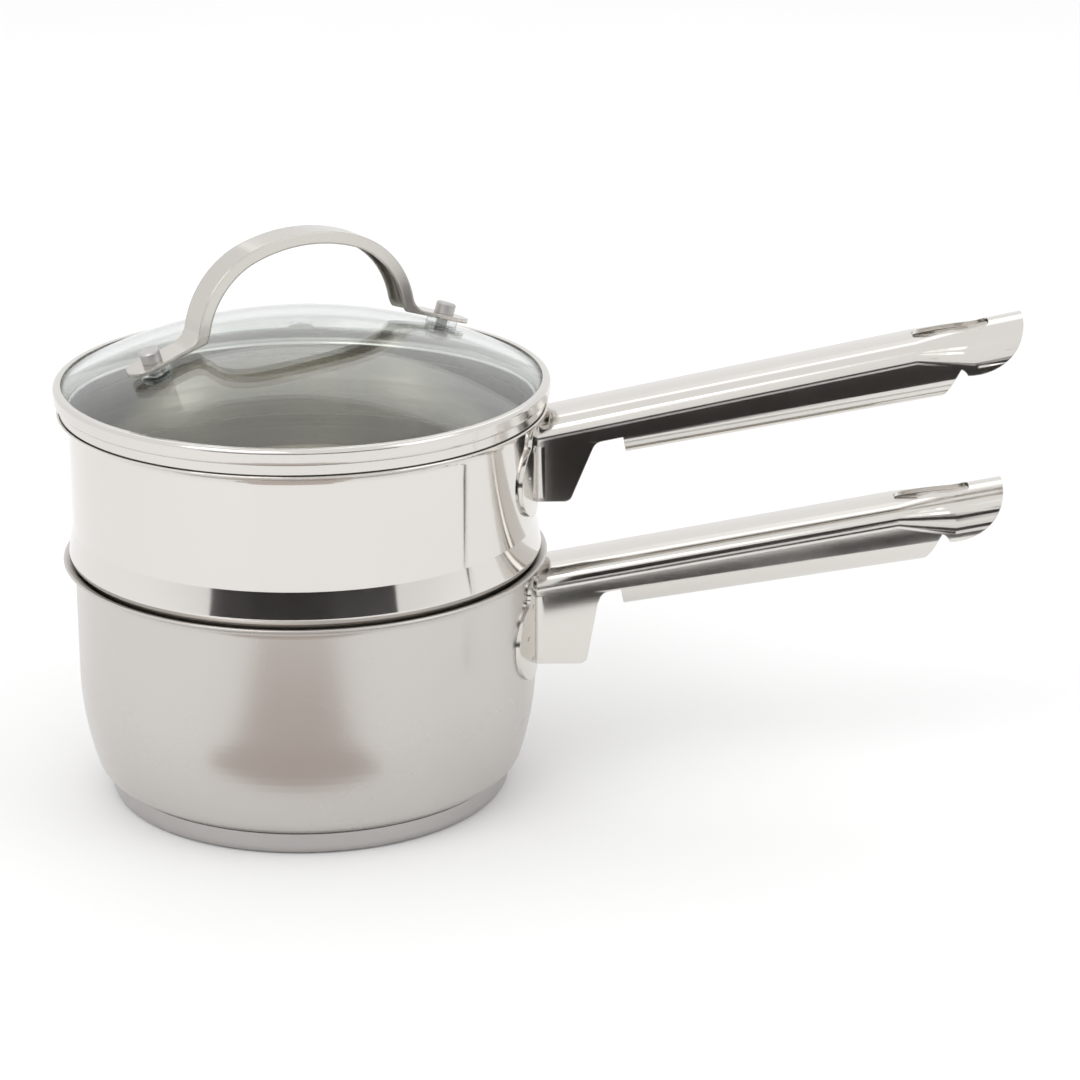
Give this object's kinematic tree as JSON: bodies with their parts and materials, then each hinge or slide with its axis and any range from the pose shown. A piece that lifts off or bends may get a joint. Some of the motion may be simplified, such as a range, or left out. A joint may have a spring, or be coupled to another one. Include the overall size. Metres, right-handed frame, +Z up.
{
  "type": "double boiler",
  "caption": "Stainless steel double boiler: a saucepan, an insert pan with a flared step, and a domed glass lid with an arched strap handle.",
  "frame": {"origin": "pan axis on the bottom plane of the base disc", "axes": "+X towards the tips of both handles, +Z up along the pan axis, +Y completes the right-handed frame"},
  "size_m": [0.3349, 0.1724, 0.2018],
  "materials": {
    "polished_steel": "polished",
    "satin_steel": "satin",
    "base_steel": "satin",
    "core_aluminium": "satin",
    "clear_glass": "polished",
    "rivet_aluminium": "satin",
    "clear_washer": "gloss"
  },
  "bodies": {
    "saucepan": {"saucepan_shell": "satin_steel", "saucepan_base_core": "core_aluminium", "saucepan_base_cap": "base_steel", "saucepan_handle": "polished_steel", "saucepan_handle_welds": "satin_steel"},
    "insert": {"insert_shell": "polished_steel", "insert_handle": "polished_steel", "insert_handle_welds": "satin_steel"},
    "lid": {"lid_glass": "clear_glass", "lid_band": "polished_steel", "lid_strap": "polished_steel", "lid_rivets": "rivet_aluminium", "lid_outer_washers": "clear_washer", "lid_glass_sleeves": "clear_washer", "lid_inner_washers": "clear_washer", "lid_rivet_caps": "rivet_aluminium"}
  },
  "joints": [
    {"name": "insert_lift", "type": "slide", "parent": "saucepan", "child": "insert", "axis": [0, 0, 1], "range_m": [0, 0.08]},
    {"name": "lid_lift", "type": "slide", "parent": "insert", "child": "lid", "axis": [0, 0, 1], "range_m": [0, 0.05]}
  ]
}
